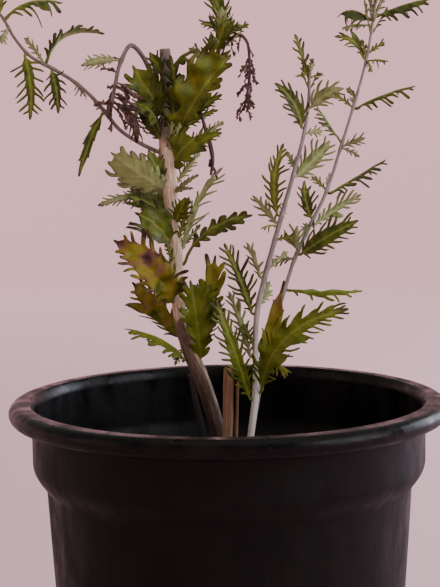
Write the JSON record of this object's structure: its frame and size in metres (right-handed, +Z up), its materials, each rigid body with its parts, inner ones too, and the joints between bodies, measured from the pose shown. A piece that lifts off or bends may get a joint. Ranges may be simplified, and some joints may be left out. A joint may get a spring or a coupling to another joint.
{
  "type": "potted russian sage",
  "caption": "Round dark nursery pot with a turned-down lip, filled with potting mix, holding a staked young sage with a woody stem, felted shoots and toothed leaves.",
  "frame": {"origin": "middle of the flat underside of the pot", "axes": "+Z up along the pot's axis, +X to the right and -Y to the front, where the plant shows best"},
  "size_m": [0.2303, 0.2198, 0.4166],
  "materials": {
    "pot_plastic": "moulded black polypropylene, satin",
    "potting_mix": "loose bark and peat compost, matt",
    "stake_wood": "split softwood, rough",
    "bark": "weathered bark, partly peeled",
    "felted_shoot": "green wood under pale felt, matt",
    "dry_shoot": "dead shoot, papery",
    "leaf_green": "fresh leaf, matt",
    "leaf_grey": "felted leaf underside, matt",
    "leaf_yellow": "yellowing leaf, matt",
    "withered": "withered leaf, crisp"
  },
  "bodies": {
    "root": {"pot": "pot_plastic", "woody_stem": "bark", "dead_stub": "bark", "front_shoot": "felted_shoot", "back_shoot": "felted_shoot", "arching_branch": "felted_shoot", "bent_dry_shoot": "dry_shoot", "crown_shoot": "felted_shoot", "withered_spray": "withered", "dry_strand": "withered", "stake": "stake_wood", "potting_mix": "potting_mix", "top_leaf": "leaf_green", "yellow_leaf": "leaf_yellow", "strip_leaf": "leaf_yellow", "upper_left_leaf": "leaf_green", "upper_arching_leaf": "leaf_green", "upper_right_leaf": "leaf_green", "broad_grey_leaf": "leaf_grey", "middle_left_leaf": "leaf_green", "curled_left_leaf": "leaf_green", "edge_on_leaf": "leaf_grey", "long_grey_leaf": "leaf_grey", "arching_right_leaf": "leaf_green", "large_withered_leaf": "withered", "small_withered_leaf": "withered", "lower_left_leaf": "leaf_green", "lower_upright_leaf": "leaf_green", "lower_yellow_leaf": "leaf_yellow", "crown_leaf": "leaf_green", "hanging_leaf_outer": "leaf_green", "hanging_leaf_inner": "leaf_green", "branch_rising_leaf": "leaf_green", "branch_side_leaf": "leaf_green", "branch_upright_leaf": "leaf_green", "hanging_leaf_narrow": "leaf_green", "crumpled_leaf": "withered", "front_low_leaf": "leaf_green", "front_right_leaf": "leaf_green", "front_withered_leaf": "withered", "front_grey_leaf": "leaf_grey", "front_dark_leaf": "leaf_green", "front_curled_leaf": "leaf_grey", "front_small_leaf": "leaf_grey", "front_tall_leaf": "leaf_green", "front_pale_leaf": "leaf_grey", "front_broad_leaf": "leaf_green", "front_upper_pale_leaf": "leaf_grey", "front_tip_leaf": "leaf_green", "back_narrow_leaf": "leaf_green", "back_large_leaf": "leaf_green", "back_folded_leaf": "leaf_grey", "back_pale_leaf": "leaf_grey", "back_dark_leaf": "leaf_green", "back_middle_leaf": "leaf_green", "back_right_leaf": "leaf_green", "back_left_leaf": "leaf_green", "back_upper_left_leaf": "leaf_green", "back_upper_right_leaf": "leaf_green", "back_top_leaf": "leaf_green"}
  },
  "joints": []
}
